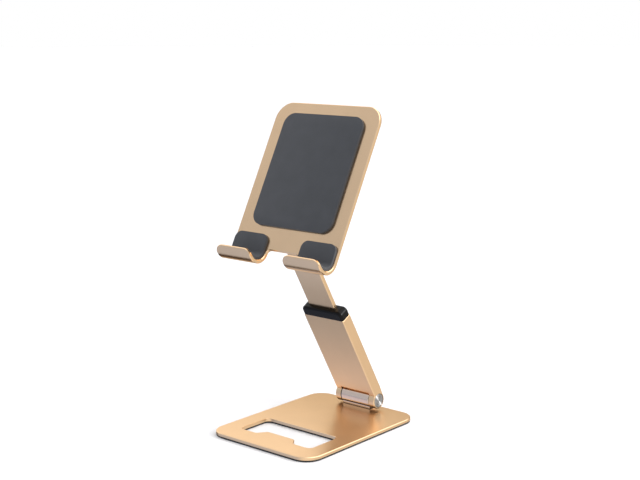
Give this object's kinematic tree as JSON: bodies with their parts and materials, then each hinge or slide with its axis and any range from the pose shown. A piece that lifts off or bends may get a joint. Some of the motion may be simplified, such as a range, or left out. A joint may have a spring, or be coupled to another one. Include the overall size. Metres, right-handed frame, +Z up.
{
  "type": "phone stand",
  "caption": "Folding desktop phone stand: flat base with a window, telescopic arm on a rear hinge, and a leaning cradle with two padded hooks.",
  "frame": {"origin": "middle of the base pad's underside, on the desk", "axes": "+Z up, -Y the side the phone faces, X along both hinge axes, in metres"},
  "size_m": [0.087, 0.1116, 0.2126],
  "materials": {
    "champagne_metal": "champagne gold, fine bead-blasted and anodised, with bright cut chamfers",
    "barrel_metal": "champagne, turned and polished",
    "pin_steel": "turned stainless steel",
    "black_plastic": "black moulded plastic, satin",
    "grey_silicone": "dark grey silicone, matt",
    "black_rubber": "black rubber, matt"
  },
  "bodies": {
    "base": {"base_plate": "champagne_metal", "base_pad": "black_rubber", "hinge_block": "barrel_metal", "hinge_block_screws": "pin_steel", "lower_bushes": "black_plastic"},
    "arm": {"arm_sleeve": "champagne_metal", "lower_pin": "pin_steel", "lower_nut": "pin_steel", "lower_disc_springs": "pin_steel", "lower_washers": "black_plastic", "collar": "black_plastic"},
    "blade": {"inner_blade": "champagne_metal", "slider_shoe": "black_plastic", "shoe_rivets": "pin_steel", "friction_spring": "pin_steel", "upper_bushes": "black_plastic"},
    "cradle": {"cradle_plate": "champagne_metal", "hook_pad_left": "grey_silicone", "hook_pad_right": "grey_silicone", "back_pad": "grey_silicone", "hinge_bracket": "champagne_metal", "bracket_screws": "pin_steel", "upper_pin": "pin_steel", "upper_nut": "pin_steel", "upper_disc_springs": "pin_steel", "upper_washers": "black_plastic"}
  },
  "joints": [
    {"name": "lower_hinge", "type": "hinge", "parent": "base", "child": "arm", "pos_m": [0, 0.0476, 0.0102], "axis": [1, 0, 0], "range_deg": [-30, 40]},
    {"name": "arm_slide", "type": "slide", "parent": "arm", "child": "blade", "axis": [0, -0.503, 0.8643], "range_m": [-0.048, 0.001]},
    {"name": "upper_hinge", "type": "hinge", "parent": "blade", "child": "cradle", "pos_m": [0, -0.01775, 0.12675], "axis": [1, 0, 0], "range_deg": [-122, 45]}
  ]
}
